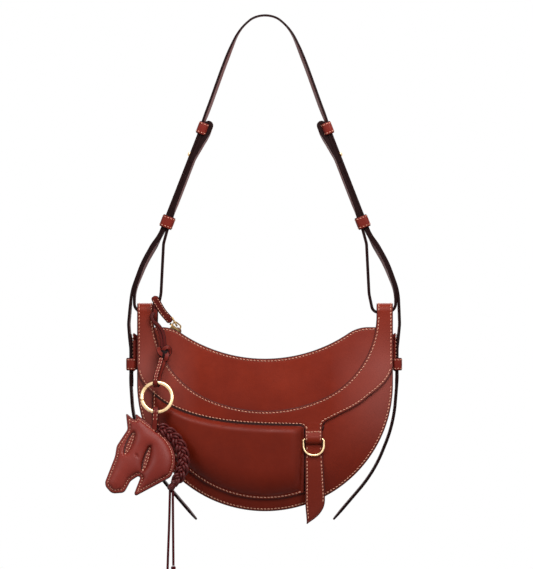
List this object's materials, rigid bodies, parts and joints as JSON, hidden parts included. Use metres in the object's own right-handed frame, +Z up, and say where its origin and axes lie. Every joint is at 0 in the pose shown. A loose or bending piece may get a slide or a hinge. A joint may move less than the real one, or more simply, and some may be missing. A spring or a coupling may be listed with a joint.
{
  "type": "half moon bag",
  "caption": "Crescent leather shoulder bag with stitched yoke, moulded front pocket, zip mouth, looped strap with keepers, D-ring tab, strap tails and a hanging horse head charm.",
  "frame": {"origin": "middle of the underside of the strap's crown, where a shoulder or a hook carries the bag", "axes": "+Z up along the hanging strap, +X to the viewer's right, -Y towards the viewer (the front)"},
  "size_m": [0.3187, 0.0988, 0.6198],
  "materials": {
    "red_leather": "smooth vegetable-tanned, semi-gloss",
    "dark_leather": "dark painted edges, semi-gloss",
    "brass": "polished",
    "lining_cloth": "woven lining",
    "waxed_cord": "waxed"
  },
  "bodies": {
    "strap": {"shoulder_strap": "dark_leather", "left_loop_strap": "dark_leather", "right_loop_strap": "dark_leather", "left_stud": "brass", "right_stud": "brass", "left_upper_keeper": "red_leather", "right_upper_keeper": "red_leather"},
    "left_lower_keeper": {"left_lower_keeper": "red_leather"},
    "right_lower_keeper": {"right_lower_keeper": "red_leather"},
    "bag": {"front_panel": "red_leather", "front_lining": "lining_cloth", "zip_tape_front": "lining_cloth", "zip_chain_front": "brass", "back_panel": "red_leather", "back_lining": "lining_cloth", "zip_tape_back": "lining_cloth", "zip_chain_back": "brass", "front_yoke": "red_leather", "back_yoke": "red_leather", "gusset": "red_leather", "front_pocket": "red_leather", "inner_pocket": "lining_cloth", "zip_end_left": "red_leather", "zip_end_right": "red_leather", "left_gusset_tab": "dark_leather", "right_gusset_tab": "dark_leather", "left_gusset_keeper": "red_leather", "right_gusset_keeper": "red_leather", "left_tail": "dark_leather", "right_tail": "dark_leather", "ring_tab": "red_leather", "tab_root": "red_leather"},
    "zip_slider": {"zip_slider": "brass"},
    "zip_pull": {"zip_bail": "brass", "zip_puller": "red_leather"},
    "d_ring": {"d_ring": "brass"},
    "hanging_tab": {"hanging_tab": "red_leather"},
    "charm_thong": {"thong_loop": "dark_leather", "thong_knot": "dark_leather", "thong_legs": "dark_leather"},
    "charm_ring": {"charm_ring": "brass", "gate_pin": "brass"},
    "ring_gate": {"ring_gate": "brass"},
    "horse_head": {"head_loop": "red_leather", "head_core": "lining_cloth", "head_front": "red_leather", "head_back": "red_leather", "mane_braid": "dark_leather", "mane_knot": "dark_leather", "tassel_left": "waxed_cord", "tassel_knot_left": "waxed_cord", "tassel_right": "waxed_cord", "tassel_knot_right": "waxed_cord"}
  },
  "joints": [
    {"name": "left_keeper_slide", "type": "slide", "parent": "strap", "child": "left_lower_keeper", "axis": [0.3633, 0, 0.9317], "range_m": [0, 0.045]},
    {"name": "right_keeper_slide", "type": "slide", "parent": "strap", "child": "right_lower_keeper", "axis": [-0.3633, 0, 0.9317], "range_m": [0, 0.045]},
    {"name": "strap_fold", "type": "hinge", "parent": "strap", "child": "bag", "pos_m": [0, 0, -0.32], "axis": [1, 0, 0], "range_deg": [0, 80]},
    {"name": "zip_travel", "type": "hinge", "parent": "bag", "child": "zip_slider", "pos_m": [0, 0, -0.21484], "axis": [0, -1, 0], "range_deg": [0, 77]},
    {"name": "puller_flip", "type": "hinge", "parent": "zip_slider", "child": "zip_pull", "pos_m": [-0.09529, 0, -0.33454], "axis": [0, 1, 0], "range_deg": [0, 130]},
    {"name": "d_ring_swing", "type": "hinge", "parent": "bag", "child": "d_ring", "pos_m": [0.0523, -0.02933, -0.4564], "axis": [1, 0, 0], "range_deg": [-100, 0]},
    {"name": "tab_lift", "type": "hinge", "parent": "bag", "child": "hanging_tab", "pos_m": [0.0523, -0.02999, -0.47763], "axis": [1, 0, 0], "range_deg": [-70, 0]},
    {"name": "charm_swing", "type": "hinge", "parent": "bag", "child": "charm_thong", "pos_m": [-0.116, 0, -0.32], "axis": [1, 0, 0], "range_deg": [-45, 0]},
    {"name": "ring_swing", "type": "hinge", "parent": "charm_thong", "child": "charm_ring", "pos_m": [-0.116, -0.03132, -0.39549], "axis": [1, 0, 0], "range_deg": [-60, 0]},
    {"name": "gate_press", "type": "hinge", "parent": "charm_ring", "child": "ring_gate", "pos_m": [-0.13178, -0.03612, -0.41474], "axis": [0, 0.9703, -0.2419], "range_deg": [0, 25], "stiffness_Nm_per_rad": 0.02, "springref_deg": -17.19},
    {"name": "head_swing", "type": "hinge", "parent": "charm_ring", "child": "horse_head", "pos_m": [-0.116, -0.03916, -0.42693], "axis": [1, 0, 0], "range_deg": [-60, 0]}
  ]
}
